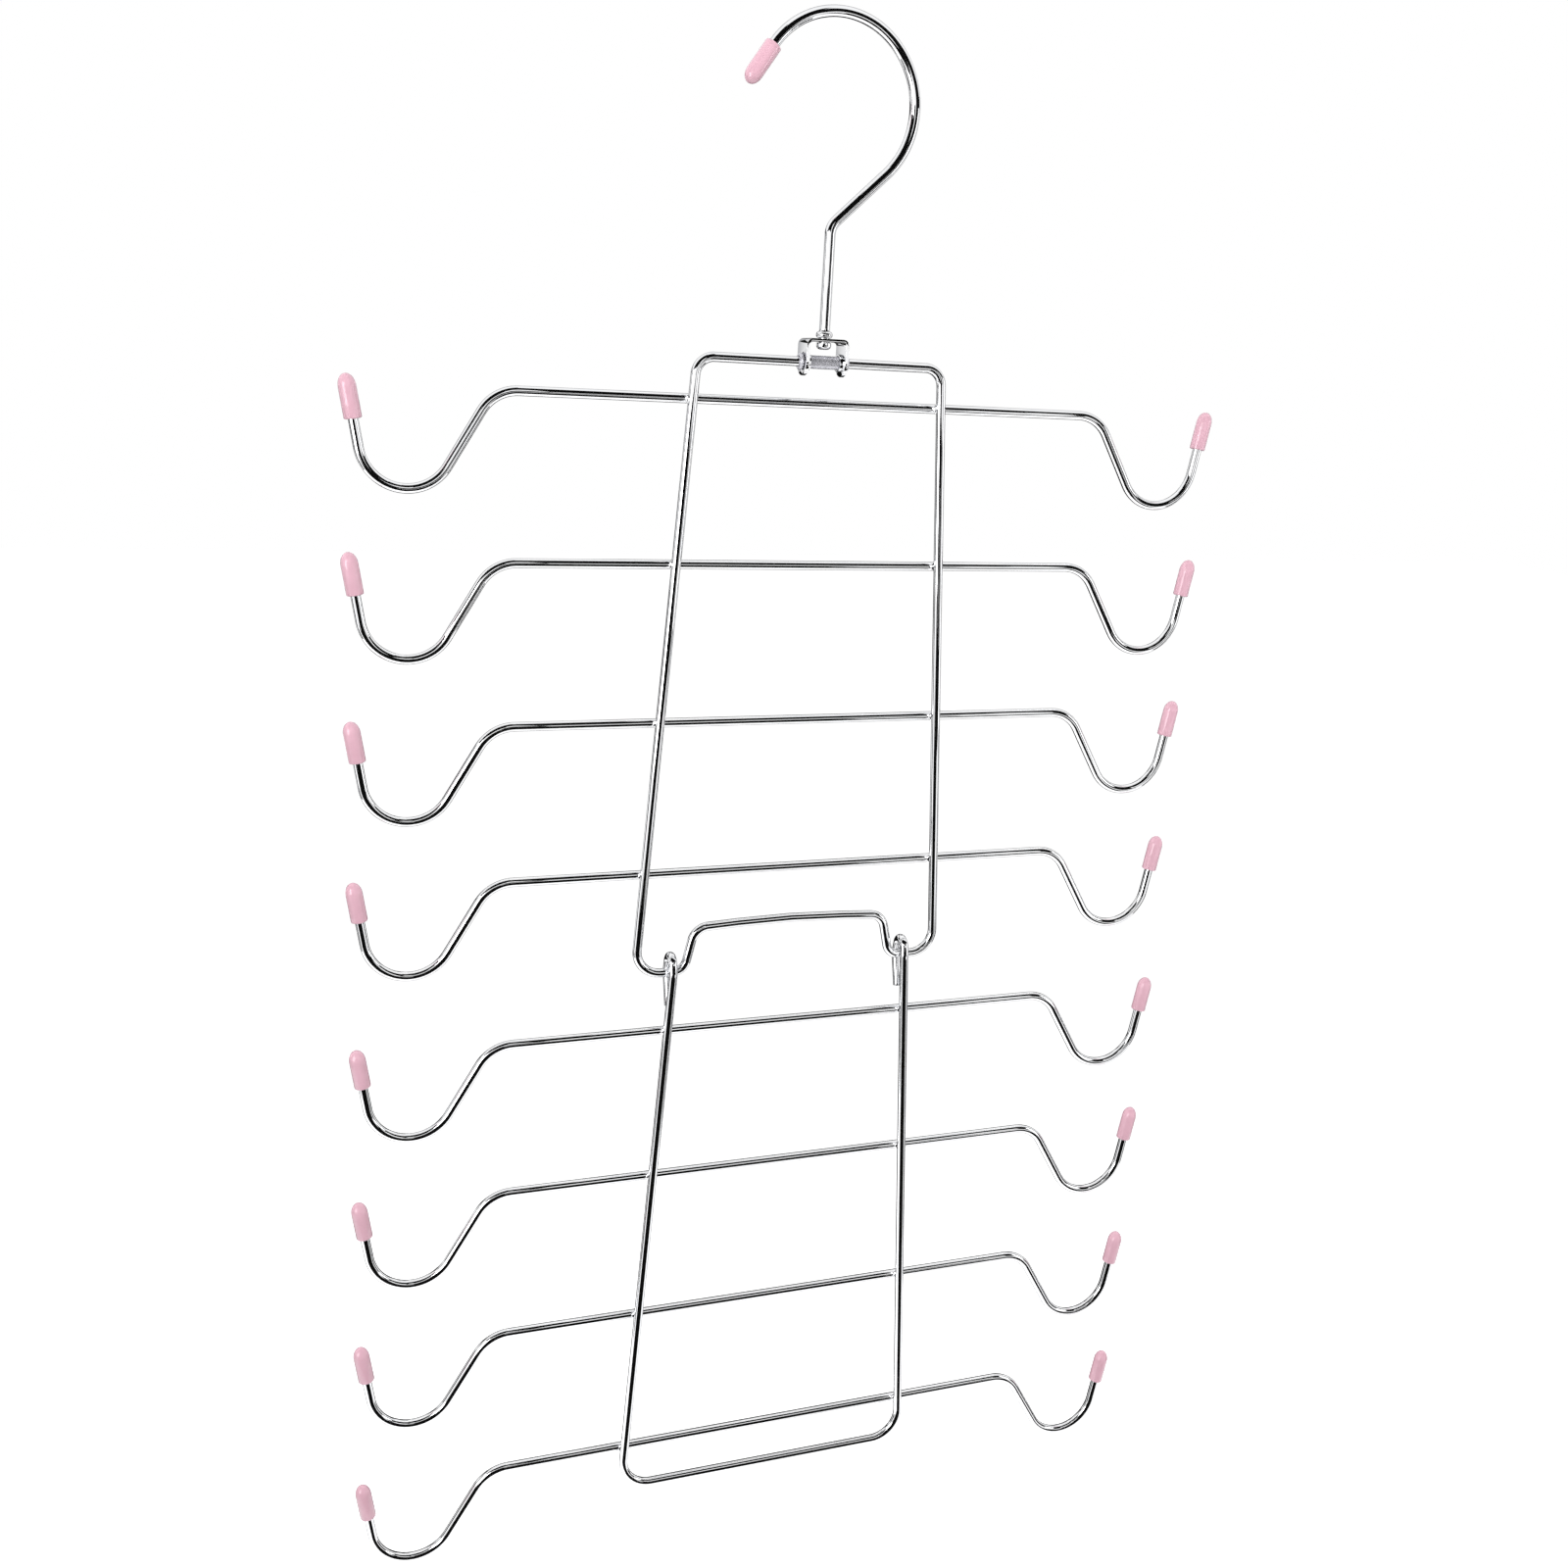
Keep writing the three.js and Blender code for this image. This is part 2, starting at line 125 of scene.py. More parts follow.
# Small forms of the looks, in millimetres and in shares of the piece's own size
WIRE_END_EDGE = 0.2
WIRE_END_MIDDLE_SHARE = 0.3
COLLAR_BULGE = 0.7
COLLAR_ROOT = 0.08
COLLAR_ROOT_LENGTH = 0.3
RIVET_FACE_SHARE = 0.35
RIVET_DOME_SHARE = 0.55
RIVET_EDGE = 0.12
FLAT_STEP = 0.01
YOKE_EDGE = 0.14
SLEEVE_ROOT = 0.08
SLEEVE_ROOT_LENGTH = 0.05
SLEEVE_BORE_EDGE = 0.1
BEAD_RADIUS = 1.62
BEAD_HALF_THICKNESS = 0.72

# Noise that makes the weld beads uneven: its share of their size, its scale and where it starts
BEAD_LUMPS = 0.10
BEAD_LUMP_SCALE = 1.7
BEAD_DRIFT = (3.1, 1.7, 1)
BEAD_SEED = 7
BEAD_SIDE_SEED = 5

# Fineness of the meshes: steps, then lengths in millimetres, then angles in degrees
ARC_STEP = math.radians(3)
WIRE_SIDES = 28
CAP_SIDES = 40
BORE_SIDES = 48
LIP_STEPS = 8
NOSE_STEPS = 14
RIVET_STEPS = 8
COLLAR_STEPS = 12
RIM_STEPS = 10
STRAP_INNER_STEPS = 8
STRAP_OUTER_STEPS = 12
EAR_STEPS = 32
BEVEL_STEPS = 3
BEAD_SUBDIVISIONS = 4
SUPPORT = 0.6
LONG_RUN = 4 * SUPPORT
CUT_MARGIN = 1
SMOOTH_ANGLE = 40
STRAP_SMOOTH_ANGLE = 30
BEVEL_ANGLE = 40

# Millimetres of a flat face that count as one turn round a wire in the texture coordinates
FLAT_TURN = 10

# Heights of the model, down from the rod seat
loop_centre = HOOK_WIRE / 2 - LOOP_RADIUS
neck_corner = loop_centre - LOOP_RADIUS / math.cos(NECK_SLOPE)
plate_top = neck_corner - STEM_LENGTH
pivot = plate_top - YOKE_RISE
upper_bars = [pivot - TOP_DROP - i * UPPER_PITCH for i in range(TIERS)]
dip = upper_bars[-1] - DIP_DROP
lower_bars = [dip - HANG_DROP - i * LOWER_PITCH for i in range(TIERS)]
foot = lower_bars[-1] - FOOT_DROP

# Planes of the wires, from the front to the back
eye_radius = FRAME_WIRE + EYE_PLAY
lower_plane = -eye_radius
crossbar_behind = (FRAME_WIRE + CROSSBAR_WIRE) / 2 + WELD_GAP


def at(x, z, y=0.0):
    """Point across and up, with its depth last because most wires bend in one plane."""
    return Vector((x, y, z))


def angles(start, end, steps):
    """Even steps from one angle to another, with both ends."""
    return [start + (end - start) * i / steps for i in range(steps + 1)]


def arc_steps(sweep):
    return max(1, round(abs(sweep) / ARC_STEP))


def arc(centre, radius, start, end):
    """Points of an arc that faces the front."""
    turns = angles(start, end, arc_steps(end - start))
    return [centre + radius * at(math.cos(a), math.sin(a)) for a in turns]


def bend(before, corner, after, radius):
    """Points of a bend at the corner between two straight runs."""
    to_before = (before - corner).normalized()
    to_after = (after - corner).normalized()
    turn = math.pi - to_before.angle(to_after)
    bisector = (to_before + to_after).normalized()
    centre = corner + bisector * (radius / math.cos(turn / 2))
    first = corner + to_before * (radius * math.tan(turn / 2)) - centre
    axis = to_after.cross(to_before).normalized()
    return [centre + Quaternion(axis, a) @ first for a in angles(0, turn, arc_steps(turn))]


def bent_runs(corners):
    """Runs through (point, bend radius) corners; the first and last points have no bend."""
    points = [corners[0][0]]
    for (before, _), (corner, radius), (after, _) in zip(corners, corners[1:], corners[2:]):
        points += bend(before, corner, after, radius)
    return points + [corners[-1][0]]


def mirrored(half):
    """A half run that starts at the middle, and its mirror image, as one run from left to right."""
    left = [at(-p.x, p.z, p.y) for p in reversed(half)]
    return left + (half[1:] if half[0].x == 0 else half)


def rounded_ends(path, radius):
    """Path and radii of a cut wire whose end edges are broken."""
    edge = WIRE_END_EDGE
    middle = WIRE_END_MIDDLE_SHARE * edge
    first = (path[1] - path[0]).normalized()
    last = (path[-1] - path[-2]).normalized()
    steps = [(0, radius - edge), (middle, radius - middle), (edge, radius)]
    start = [(path[0] + first * d, r) for d, r in steps]
    end = [(path[-1] - last * d, r) for d, r in reversed(steps)]
    rows = start + [(p, radius) for p in path[1:-1]] + end
    return [p for p, _ in rows], [r for _, r in rows]


def supported(path, radii):
    """Extra rings just inside each long straight run, which keep the shading of the run straight."""
    rows = [(path[0], radii[0])]
    for i in range(1, len(path)):
        length = (path[i] - path[i - 1]).length
        if length > LONG_RUN:
            for share in (SUPPORT / length, 1 - SUPPORT / length):
                point = path[i - 1].lerp(path[i], share)
                rows.append((point, radii[i - 1] + (radii[i] - radii[i - 1]) * share))
        rows.append((path[i], radii[i]))
    return [p for p, _ in rows], [r for _, r in rows]


def swept(path, radii, sides=WIRE_SIDES):
    """Closed round tube along a path, with its length and turn as texture coordinates."""
    path, radii = supported(path, radii)
    tangents = []
    for i in range(len(path)):
        run = path[min(i + 1, len(path) - 1)] - path[max(i - 1, 0)]
        tangents.append(run.normalized())
    normal = tangents[0].orthogonal().normalized()
    verts, lengths, length = [], [], 0.0
    for i, (point, tangent) in enumerate(zip(path, tangents)):
        if i:
            normal = tangents[i - 1].rotation_difference(tangent) @ normal
            length += (point - path[i - 1]).length
        lengths.append(length)
        side = tangent.cross(normal)
        for j in range(sides):
            a = 2 * math.pi * j / sides
            verts.append(point + radii[i] * (math.cos(a) * normal + math.sin(a) * side))
    faces, places = [], []
    for i in range(len(path) - 1):
        start, end = lengths[i], lengths[i + 1]
        for j in range(sides):
            k = (j + 1) % sides
            faces.append((i * sides + j, i * sides + k, (i + 1) * sides + k, (i + 1) * sides + j))
            low, high = j / sides, (j + 1) / sides
            places.append([(start, low), (start, high), (end, high), (end, low)])
    last = (len(path) - 1) * sides
    faces.append(tuple(reversed(range(sides))))
    faces.append(tuple(last + j for j in range(sides)))
    places += [[(0, j / sides) for j in range(sides)], [(length, j / sides) for j in range(sides)]]
    return verts, faces, places


def lathed(profile, sides=CAP_SIDES):
    """Closed solid turned about +Z from pairs of radius and height; radius 0 closes on the axis."""
    verts, rings = [], []
    for radius, height in profile:
        count = 1 if radius == 0 else sides
        rings.append(range(len(verts), len(verts) + count))
        for j in range(count):
            a = 2 * math.pi * j / sides
            verts.append(Vector((radius * math.cos(a), radius * math.sin(a), height)))
    lengths = [0.0]
    for (r0, h0), (r1, h1) in zip(profile, profile[1:]):
        lengths.append(lengths[-1] + math.hypot(r1 - r0, h1 - h0))
    pairs = list(zip(range(len(rings)), range(1, len(rings))))
    if profile[0][0] != 0:
        pairs.append((len(rings) - 1, 0))
    faces, places = [], []
    for i, k in pairs:
        a, b = rings[i], rings[k]
        start, end = lengths[i], lengths[k]
        for j in range(sides):
            n = (j + 1) % sides
            low, high = j / sides, (j + 1) / sides
            if len(a) == 1:
                faces.append((a[0], b[n], b[j]))
                places.append([(start, low), (end, high), (end, low)])
            elif len(b) == 1:
                faces.append((a[j], a[n], b[0]))
                places.append([(start, low), (start, high), (end, low)])
            else:
                faces.append((a[j], a[n], b[n], b[j]))
                places.append([(start, low), (start, high), (end, high), (end, low)])
    return verts, faces, places


def turn_faces_out(mesh):
    fix = bmesh.new()
    fix.from_mesh(mesh)
    bmesh.ops.recalc_face_normals(fix, faces=fix.faces)
    fix.to_mesh(mesh)
    fix.free()


def linked(name, data):
    """New object in the scene."""
    thing = bpy.data.objects.new(name, data)
    bpy.context.scene.collection.objects.link(thing)
    return thing


def make_piece(name, shape, finish, body, node=None, place=None, smooth=SMOOTH_ANGLE):
    """Piece in metres from a shape in millimetres, riding on a body and replacing a node if named."""
    verts, faces, places = shape
    material, slot = finish
    mesh = bpy.data.meshes.new(name)
    placed = [(place @ v if place else v) * MM for v in verts]
    mesh.from_pydata(placed, [], faces)
    layer = mesh.uv_layers.new(name="wire")
    for polygon, spots in zip(mesh.polygons, places):
        for loop, spot in zip(polygon.loop_indices, spots):
            layer.data[loop].uv = (spot[0] * MM, spot[1])
    turn_faces_out(mesh)
    mesh.shade_smooth()
    mesh.set_sharp_from_angle(angle=math.radians(smooth))
    mesh.materials.append(material)
    piece = linked(name, mesh)
    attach(piece, body)
    if node:
        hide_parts(node)


# Most of what a noise texture gives lies between these values
NOISE_LOW = 0.3
NOISE_HIGH = 0.7


class Nodes:
    """Short way to a node tree."""

    def __init__(self, tree):
        self.tree = tree

    def add(self, kind, settings=None, **inputs):
        node = self.tree.nodes.new(kind)
        for key, value in (settings or {}).items():
            setattr(node, key, value)
        for key, value in inputs.items():
            self.put(node, key.replace("_", " "), value)
        return node

    def put(self, node, socket, value):
        target = node.inputs[socket]
        if isinstance(value, bpy.types.NodeSocket):
            self.tree.links.new(value, target)
        else:
            target.default_value = value

    def object_place(self):
        return self.add("ShaderNodeTexCoord").outputs["Object"]

    def wire_place(self, along, around):
        """Texture coordinates along and around a wire, each times a scale."""
        uv = self.add("ShaderNodeUVMap", {"uv_map": "wire"}).outputs["UV"]
        return self.add("ShaderNodeMapping", Vector=uv, Scale=(along, around, 1)).outputs["Vector"]

    def noise_at(self, place, scale, detail=2.0):
        node = self.add("ShaderNodeTexNoise", Vector=place, Scale=scale, Detail=detail)
        return node.outputs["Fac"]

    def colours(self, value, low, high):
        """Colour between two colours, from a noise."""
        node = self.add("ShaderNodeValToRGB", Fac=value)
        stops = ((NOISE_LOW, low), (NOISE_HIGH, high))
        for element, (position, colour) in zip(node.color_ramp.elements, stops):
            element.position = position
            element.color = (*colour, 1)
        return node.outputs["Color"]

    def levels(self, value, low, high, start=NOISE_LOW, end=NOISE_HIGH):
        """Number between two numbers, from a noise unless another span is given."""
        node = self.add("ShaderNodeMapRange", Value=value, From_Min=start, From_Max=end)
        self.put(node, "To Min", low)
        self.put(node, "To Max", high)
        return node.outputs["Result"]

    def bump(self, height, strength, distance, **under):
        node = self.add("ShaderNodeBump", Height=height, Strength=strength, Distance=distance, **under)
        return node.outputs["Normal"]

    def worked_out(self, operation, first, second):
        node = self.add("ShaderNodeMath", {"operation": operation})
        self.put(node, 0, first)
        self.put(node, 1, second)
        return node.outputs["Value"]


def new_material(name):
    material = bpy.data.materials.new(name)
    material.use_nodes = True
    shader = material.node_tree.nodes["Principled BSDF"]
    return material, Nodes(material.node_tree), shader


def grey(level):
    return (level, level, level)


def chrome_plate():
    """Bright chrome on drawn wire: faint die lines along the wire and slow waves in the plate."""
    material, nodes, shader = new_material("chrome_plate")
    lines = nodes.noise_at(nodes.wire_place(along=40, around=22), scale=1.0, detail=3.0)
    waves = nodes.noise_at(nodes.object_place(), scale=90.0)
    nodes.put(shader, "Base Color", nodes.colours(waves, (0.90, 0.91, 0.93), (0.96, 0.96, 0.965)))
    shader.inputs["Metallic"].default_value = 1.0
    shader.inputs["Specular Tint"].default_value = (0.38, 0.38, 0.39, 1)
    nodes.put(shader, "Roughness", nodes.levels(lines, low=0.02, high=0.05))
    wavy = nodes.bump(waves, strength=0.03, distance=0.0002)
    lined = nodes.bump(lines, strength=0.02, distance=0.00003, Normal=wavy)
    nodes.put(shader, "Normal", lined)
    return material


def dull_plate():
    """Grey plated tube with fine turned scratches."""
    material, nodes, shader = new_material("dull_plate")
    scratches = nodes.noise_at(nodes.wire_place(along=6000, around=3), scale=1.0, detail=4.0)
    mottle = nodes.noise_at(nodes.object_place(), scale=900.0, detail=3.0)
    nodes.put(shader, "Base Color", nodes.colours(mottle, (0.66, 0.66, 0.71), (0.78, 0.77, 0.82)))
    shader.inputs["Metallic"].default_value = 0.85
    nodes.put(shader, "Roughness", nodes.levels(scratches, low=0.38, high=0.55))
    nodes.put(shader, "Normal", nodes.bump(scratches, strength=0.2, distance=0.00003))
    return material


def pink_vinyl():
    """Soft dipped vinyl: cloudy pink with a glossy skin."""
    material, nodes, shader = new_material("pink_vinyl")
    where = nodes.object_place()
    clouds = nodes.noise_at(where, scale=260.0, detail=3.0)
    skin = nodes.noise_at(where, scale=1800.0)
    nodes.put(shader, "Base Color", nodes.colours(clouds, (0.75, 0.445, 0.53), (0.79, 0.475, 0.565)))
    shader.inputs["Specular IOR Level"].default_value = 0.15
    shader.inputs["Coat Weight"].default_value = 0.9
    shader.inputs["Coat Roughness"].default_value = 0.06
    nodes.put(shader, "Roughness", nodes.levels(skin, low=0.24, high=0.36))
    nodes.put(shader, "Normal", nodes.bump(skin, strength=0.01, distance=0.00002))
    return material


# Finishes: a material and its slot
CHROME = (chrome_plate(), "chrome")
GREY_STEEL = (dull_plate(), "plated_sleeve")
VINYL = (pink_vinyl(), "vinyl")


def cap_profile(radius, length, wire):
    """Dipped cap on its open rim: rolled lip, straight skirt and bullet end, with a blind bore."""
    bore = wire / 2 + CAP_FIT
    rows = [(0, length - CAP_END), (bore, length - CAP_END), (bore, CAP_LIP)]
    middle, half = (bore + radius) / 2, (radius - bore) / 2
    for a in angles(math.pi, 2 * math.pi, LIP_STEPS):
        rows.append((middle + half * math.cos(a), CAP_LIP + CAP_LIP * math.sin(a)))
    for a in angles(0, QUARTER, NOSE_STEPS)[:-1]:
        rows.append((radius * math.cos(a), length - CAP_NOSE + CAP_NOSE * math.sin(a)))
    return rows + [(0, length)]


def cap_place(rim, direction):
    """Stands a cap's axis along a direction, with its rim at a place."""
    turn = Vector((0, 0, 1)).rotation_difference(direction)
    return Matrix.Translation(rim) @ turn.to_matrix().to_4x4()


def stem_foot():
    """Heights and radii of the stem's foot: riveted head, neck in the yoke's plate, swaged collar."""
    wire = HOOK_WIRE / 2
    head_top = plate_top - YOKE_SHEET - SWIVEL_PLAY
    head_foot = head_top - RIVET_HEIGHT
    collar_foot = plate_top + SWIVEL_PLAY
    collar_top = collar_foot + COLLAR_HEIGHT
    collar_face = COLLAR_RADIUS - COLLAR_BULGE
    rows = []
    for a in angles(0, QUARTER, RIVET_STEPS):
        rise = RIVET_HEIGHT * RIVET_DOME_SHARE * (1 - math.cos(a))
        share = RIVET_FACE_SHARE + (1 - RIVET_FACE_SHARE) * math.sin(a)
        rows.append((head_foot + rise, RIVET_RADIUS * share))
    rows += [(head_top - RIVET_EDGE, RIVET_RADIUS), (head_top, RIVET_RADIUS - RIVET_EDGE)]
    rows += [(head_top + FLAT_STEP, wire), (collar_foot - FLAT_STEP, wire), (collar_foot, collar_face)]
    for a in angles(-QUARTER, QUARTER, COLLAR_STEPS):
        rise = COLLAR_HEIGHT / 2 * (1 + math.sin(a))
        rows.append((collar_foot + rise, collar_face + COLLAR_BULGE * math.cos(a)))
    rows += [(collar_top + FLAT_STEP, wire + COLLAR_ROOT), (collar_top + COLLAR_ROOT_LENGTH, wire)]
    return rows


def make_hook():
    wire = HOOK_WIRE / 2
    edge = WIRE_END_EDGE
    loop = arc(at(0, loop_centre), LOOP_RADIUS, NECK_SLOPE - QUARTER, LOOP_END)
    outward = at(-math.sin(LOOP_END), math.cos(LOOP_END))
    wire_end = loop[-1] + outward * (HOOK_CAP_LENGTH - CAP_END - CAP_FIT)
    rows = stem_foot()
    stem = [at(0, z) for z, _ in rows]
    neck = bend(stem[-1], at(0, neck_corner), loop[0], NECK_BEND)
    path = stem + neck + loop + [wire_end - outward * edge, wire_end]
    radii = [r for _, r in rows] + [wire] * (len(neck) + len(loop)) + [wire, wire - edge]
    make_piece("hanging_hook_wire", swept(path, radii), CHROME, "hook", "hanging_hook")
    cap = lathed(cap_profile(HOOK_CAP_RADIUS, HOOK_CAP_LENGTH, HOOK_WIRE))
    make_piece("hook_cap_vinyl", cap, VINYL, "hook", "hook_cap", cap_place(loop[-1], outward))


def prism(outline, along, low, high):
    """Closed prism of a plane outline: along X the outline is (y, z), along Y (x, z), along Z (x, y)."""
    spread = {
        "X": lambda a, b, c: Vector((c, a, b)),
        "Y": lambda a, b, c: Vector((a, c, b)),
        "Z": lambda a, b, c: Vector((a, b, c)),
    }[along]
    n = len(outline)
    verts = [spread(a, b, low) for a, b in outline] + [spread(a, b, high) for a, b in outline]
    faces = [tuple(range(n)), tuple(reversed(range(n, 2 * n)))]
    faces += [(i, i + n, (i + 1) % n + n, (i + 1) % n) for i in range(n)]
    mesh = bpy.data.meshes.new("prism")
    mesh.from_pydata(verts, [], faces)
    turn_faces_out(mesh)
    return linked("prism", mesh)


def turn_points(centre, radius, start, end, steps):
    """Points of a turn in an outline."""
    x, z = centre
    return [(x + radius * math.cos(a), z + radius * math.sin(a)) for a in angles(start, end, steps)]


def ring(radius):
    """Outline of a bore or a collar."""
    return turn_points((0, 0), radius, 0, 2 * math.pi, BORE_SIDES)[:-1]


def evaluated(solid):
    """Mesh of an object with its modifiers applied; the object goes."""
    graph = bpy.context.evaluated_depsgraph_get()
    graph.update()
    mesh = bpy.data.meshes.new_from_object(solid.evaluated_get(graph))
    bpy.data.objects.remove(solid)
    return mesh


def strap_outline():
    """Yoke strap seen from the front, about the pivot, with its ears cut square."""
    half = YOKE_WIDTH / 2
    inner = half - YOKE_SHEET
    low = -YOKE_DEPTH / 2
    left = (-half + YOKE_BEND, YOKE_RISE - YOKE_BEND)
    right = (half - YOKE_BEND, YOKE_RISE - YOKE_BEND)
    inner_bend = YOKE_BEND - YOKE_SHEET
    outline = [(-half, low), (-inner, low)]
    outline += turn_points(left, inner_bend, math.pi, QUARTER, STRAP_INNER_STEPS)
    outline += turn_points(right, inner_bend, QUARTER, 0, STRAP_INNER_STEPS)
    outline += [(inner, low), (half, low)]
    outline += turn_points(right, YOKE_BEND, 0, QUARTER, STRAP_OUTER_STEPS)
    outline += turn_points(left, YOKE_BEND, QUARTER, math.pi, STRAP_OUTER_STEPS)
    return outline


def make_yoke():
    half_depth = YOKE_DEPTH / 2
    inner = YOKE_WIDTH / 2 - YOKE_SHEET
    strap = prism(strap_outline(), "Y", -half_depth, half_depth)
    ear = [(half_depth, YOKE_RISE + CUT_MARGIN), (-half_depth, YOKE_RISE + CUT_MARGIN)]
    ear += turn_points((0, 0), half_depth, math.pi, 2 * math.pi, EAR_STEPS)
    steps = [("INTERSECT", prism(ear, "X", -YOKE_WIDTH, YOKE_WIDTH))]
    collar = ring(EAR_BORE + EAR_COLLAR_WALL)
    for side in (-1, 1):
        ends = sorted((side * (inner - EAR_COLLAR_LENGTH), side * (inner + YOKE_SHEET / 2)))
        steps.append(("UNION", prism(collar, "X", *ends)))
    steps.append(("DIFFERENCE", prism(ring(EAR_BORE), "X", -YOKE_WIDTH, YOKE_WIDTH)))
    steps.append(("DIFFERENCE", prism(ring(STEM_BORE), "Z", 0, 2 * YOKE_RISE)))
    for kind, cutter in steps:
        cut = strap.modifiers.new(kind, "BOOLEAN")
        cut.operation = kind
        cut.solver = "EXACT"
        cut.object = cutter
        cutter.hide_render = True
    edge = strap.modifiers.new("edge", "BEVEL")
    edge.width = YOKE_EDGE
    edge.segments = BEVEL_STEPS
    edge.limit_method = "ANGLE"
    edge.angle_limit = math.radians(BEVEL_ANGLE)
    edge.use_clamp_overlap = True
    mesh = evaluated(strap)
    for _, cutter in steps:
        bpy.data.objects.remove(cutter)
    verts = [v.co.copy() for v in mesh.vertices]
    faces = [tuple(p.vertices) for p in mesh.polygons]
    places = [[(verts[i].z + verts[i].x, verts[i].y / FLAT_TURN) for i in face] for face in faces]
    bpy.data.meshes.remove(mesh)
    shape = (verts, faces, places)
    place = Matrix.Translation(at(0, pivot))
    make_piece("yoke_strap", shape, CHROME, "yoke", "swivel_yoke", place, STRAP_SMOOTH_ANGLE)


def make_sleeve():
    rim_half = SLEEVE_RIM_WIDTH / 2
    rim_inner = YOKE_WIDTH / 2 + PIVOT_PLAY
    middle = rim_inner + rim_half
    end = rim_inner + SLEEVE_RIM_WIDTH
    half = [(SLEEVE_RADIUS, rim_inner - SLEEVE_ROOT_LENGTH), (SLEEVE_RADIUS + SLEEVE_ROOT, rim_inner)]
    for a in angles(-QUARTER, QUARTER, RIM_STEPS):
        radius = SLEEVE_RIM_RADIUS - rim_half + rim_half * math.cos(a)
        half.append((radius, middle + rim_half * math.sin(a)))
    half += [(SLEEVE_BORE + SLEEVE_BORE_EDGE, end), (SLEEVE_BORE, end - SLEEVE_BORE_EDGE)]
    profile = [(r, -h) for r, h in reversed(half)] + half
    place = Matrix.Translation(at(0, pivot)) @ Matrix.Rotation(QUARTER, 4, "Y")
    make_piece("sleeve_tube", lathed(profile), GREY_STEEL, "upper_section", "pivot_sleeve", place)


def make_upper_frame():
    half = bent_runs([
        (at(0, dip + BUMP_HEIGHT + BUMP_CROWN), 0),
        (at(BUMP_TOP_WIDTH / 2, dip + BUMP_HEIGHT), BUMP_BEND),
        (at(BUMP_BASE_WIDTH / 2, dip), DIP_INNER_BEND),
        (at(FOOT_WIDTH / 2, dip), DIP_OUTER_BEND),
        (at(UPPER_TOP_WIDTH / 2, pivot), UPPER_TOP_BEND),
        (at(WIRE_END_GAP / 2, pivot), 0),
    ])
    crown = bend(at(-half[1].x, half[1].z), half[0], half[1], BUMP_CROWN_BEND)
    path = mirrored([p for p in crown if p.x > 0] + half[1:])
    shape = swept(*rounded_ends(path, FRAME_WIRE / 2))
    make_piece("upper_frame_wire", shape, CHROME, "upper_section", "upper_frame")


def make_lower_frame():
    side = EYE_SPACING / 2
    top = dip + (eye_radius * math.cos(EYE_TAPER) - EYE_TOP_BEND) / math.sin(EYE_TAPER)
    arch = []
    for a in angles(math.pi - EYE_TAPER, EYE_TAPER, arc_steps(math.pi - 2 * EYE_TAPER)):
        arch.append(at(side, top + EYE_TOP_BEND * math.sin(a), EYE_TOP_BEND * math.cos(a)))
    bow = bent_runs([
        (at(0, foot, lower_plane), 0),
        (at(FOOT_WIDTH / 2, foot, lower_plane), LOWER_FOOT_BEND),
        (at(side, dip, lower_plane), EYE_SIDE_BEND),
        (arch[0], 0),
    ])
    tail = bent_runs([
        (arch[-1], 0),
        (at(side, dip, eye_radius), EYE_SIDE_BEND),
        (at(side, dip - EYE_TAIL_SHOULDER, eye_radius), EYE_SIDE_BEND),
        (at(side, dip - EYE_TAIL_LENGTH, lower_plane + FRAME_WIRE + EYE_TAIL_GAP), 0),
    ])
    shape = swept(*rounded_ends(mirrored(bow + arch[1:-1] + tail), FRAME_WIRE / 2))
    make_piece("lower_frame_wire", shape, CHROME, "lower_section", "lower_frame")


# Strap hook at the right end of a crossbar, from the height of its straight run
hook_turn = HOOK_RADIUS + SHOULDER_RADIUS
hook_run = (HOOK_DEPTH - hook_turn * (1 - math.cos(HOOK_SLOPE))) / math.sin(HOOK_SLOPE)
hook_width = hook_turn * math.sin(HOOK_SLOPE) + hook_run * math.cos(HOOK_SLOPE)
shoulder_centre = at(HOOK_SPACING / 2 - hook_width, -SHOULDER_RADIUS)
hook_centre = at(HOOK_SPACING / 2, HOOK_RADIUS - HOOK_DEPTH)
leg = at(math.sin(TIP_LEAN), math.cos(TIP_LEAN))


def make_tier(number, height, plane, body):
    lift = at(0, height, plane)
    shoulder = arc(shoulder_centre, SHOULDER_RADIUS, QUARTER, QUARTER - HOOK_SLOPE)
    bow = arc(hook_centre, HOOK_RADIUS, -QUARTER - HOOK_SLOPE, -TIP_LEAN)
    leg_length = (TIP_RISE - bow[-1].z) / leg.z
    wire_end = bow[-1] + leg * (leg_length - CAP_END - CAP_FIT)
    path = [p + lift for p in mirrored(shoulder + bow + [wire_end])]
    bar = f"crossbar_{number}"
    make_piece(f"{bar}_wire", swept(*rounded_ends(path, CROSSBAR_WIRE / 2)), CHROME, body, bar)
    rim = bow[-1] + leg * (leg_length - CAP_LENGTH)
    shape = lathed(cap_profile(CAP_RADIUS, CAP_LENGTH, CROSSBAR_WIRE))
    for hand, sign in (("left", -1), ("right", 1)):
        place = cap_place(at(sign * rim.x, rim.z) + lift, at(sign * leg.x, leg.z))
        cap = f"strap_cap_{number}_{hand}"
        make_piece(f"{cap}_vinyl", shape, VINYL, body, cap, place)


